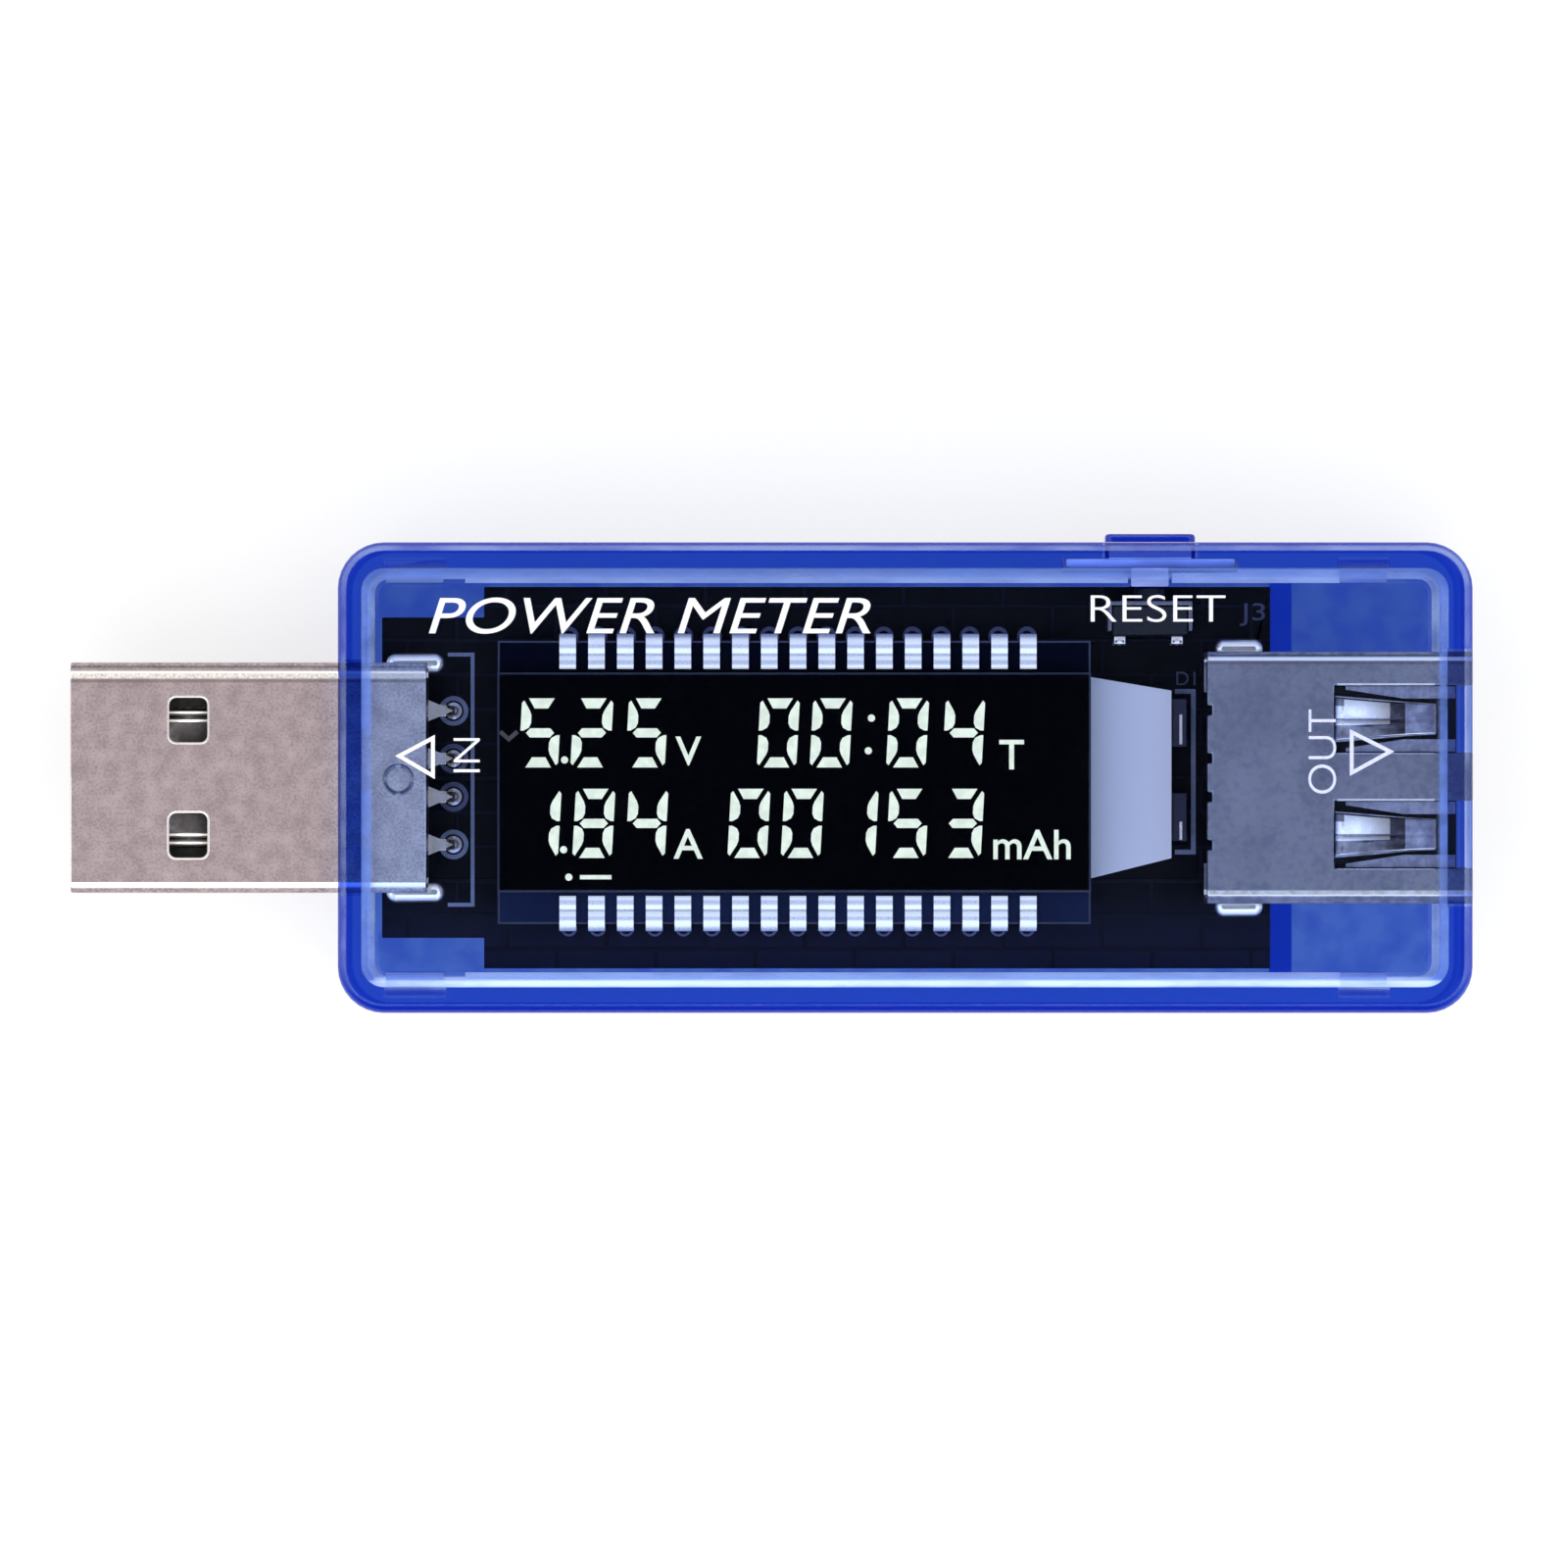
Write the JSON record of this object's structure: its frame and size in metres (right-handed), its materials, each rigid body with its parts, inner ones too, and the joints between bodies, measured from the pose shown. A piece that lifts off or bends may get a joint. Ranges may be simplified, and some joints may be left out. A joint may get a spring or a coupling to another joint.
{
  "type": "usb power meter",
  "caption": "Pass-through USB power meter: clear blue case with a segment display, a USB-A plug at one end, a USB-A socket at the other and a side reset button.",
  "frame": {"origin": "middle of the case's flat back", "axes": "+X towards the output socket, +Y towards the side with the reset button, +Z out of the display"},
  "size_m": [0.0729, 0.0249, 0.012],
  "materials": {
    "case_plastic": "polished translucent blue polycarbonate",
    "connector_nickel": "nickel-plated sheet, satin with a fine grain",
    "contact_gold": "thin gold plating",
    "tinned_lead": "tinned",
    "switch_steel": "stamped stainless sheet",
    "black_plastic": "moulded, matte",
    "white_plastic": "moulded, satin",
    "reflector_film": "white film",
    "board_mask": "black solder mask",
    "display_glass": "polished",
    "polariser_film": "smooth dark film",
    "clear_acrylic": "clear, lit from its end",
    "chip_ceramic": "fired ceramic with tinned ends"
  },
  "bodies": {
    "housing": {"backlight_led_1": "white_plastic", "backlight_led_2": "white_plastic", "backlight_reflector": "reflector_film", "bottom_shell": "case_plastic", "buffer_capacitor": "chip_ceramic", "circuit_board": "board_mask", "clock_crystal": "switch_steel", "current_shunt": "chip_ceramic", "display_pins_lower": "tinned_lead", "display_pins_upper": "tinned_lead", "front_glass": "display_glass", "front_polariser": "polariser_film", "input_capacitor": "chip_ceramic", "led_resistor": "chip_ceramic", "light_guide": "clear_acrylic", "memory_chip": "black_plastic", "microcontroller": "black_plastic", "plug_contact_1": "contact_gold", "plug_contact_2": "contact_gold", "plug_contact_3": "contact_gold", "plug_contact_4": "contact_gold", "plug_insulator": "white_plastic", "plug_shell": "connector_nickel", "pull_up_resistor": "chip_ceramic", "rear_glass": "display_glass", "rear_polariser": "polariser_film", "reset_switch_body": "black_plastic", "reset_switch_dome": "switch_steel", "reset_switch_frame": "switch_steel", "reset_switch_terminal_1": "tinned_lead", "reset_switch_terminal_2": "tinned_lead", "socket_contact_1": "contact_gold", "socket_contact_2": "contact_gold", "socket_contact_3": "contact_gold", "socket_contact_4": "contact_gold", "socket_insulator": "white_plastic", "socket_shell": "connector_nickel", "top_cover": "case_plastic", "voltage_regulator": "black_plastic"},
    "button": {"reset_button": "case_plastic"},
    "plunger": {"reset_switch_plunger": "black_plastic"}
  },
  "joints": [
    {"name": "reset_press", "type": "slide", "parent": "housing", "child": "button", "axis": [0, -1, 0], "range_m": [0, 0.00025]},
    {"name": "plunger_press", "type": "slide", "parent": "housing", "child": "plunger", "axis": [0, -1, 0], "range_m": [0, 0.00025]}
  ],
  "couplings": [
    {"joint": "plunger_press", "follows": "reset_press", "ratio": 1}
  ]
}
